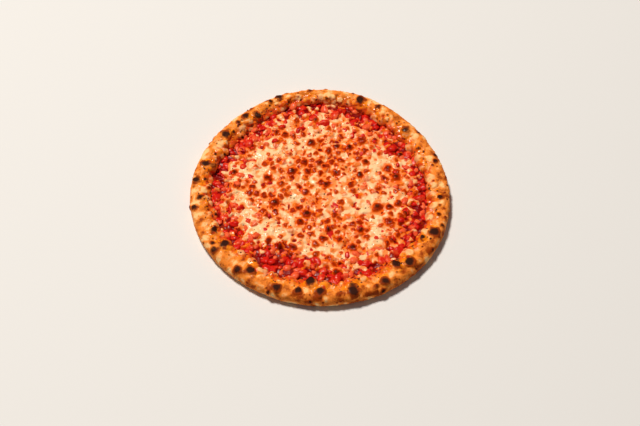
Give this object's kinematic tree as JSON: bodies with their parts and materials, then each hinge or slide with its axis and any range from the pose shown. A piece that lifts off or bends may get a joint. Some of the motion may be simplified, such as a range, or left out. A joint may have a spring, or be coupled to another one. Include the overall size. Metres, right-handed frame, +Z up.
{
  "type": "margherita pizza",
  "caption": "Whole round thin pizza with a raised browned rim, a band of chunky tomato sauce and a melted, toasted cheese top.",
  "frame": {"origin": "middle of the pizza's flat underside, under the middle of its box", "axes": "+Z up out of the topped side, -Y the side nearest the viewer, +X to the viewer's right"},
  "size_m": [0.3014, 0.3012, 0.0181],
  "materials": {
    "crust": "baked bread dough, golden tan with dark blisters",
    "tomato_sauce": "wet crushed tomato, deep red",
    "mozzarella": "melted cheese, cream, toasted orange-brown in spots"
  },
  "bodies": {
    "root": {"crust": "crust", "tomato_sauce": "tomato_sauce", "mozzarella": "mozzarella"}
  },
  "joints": []
}
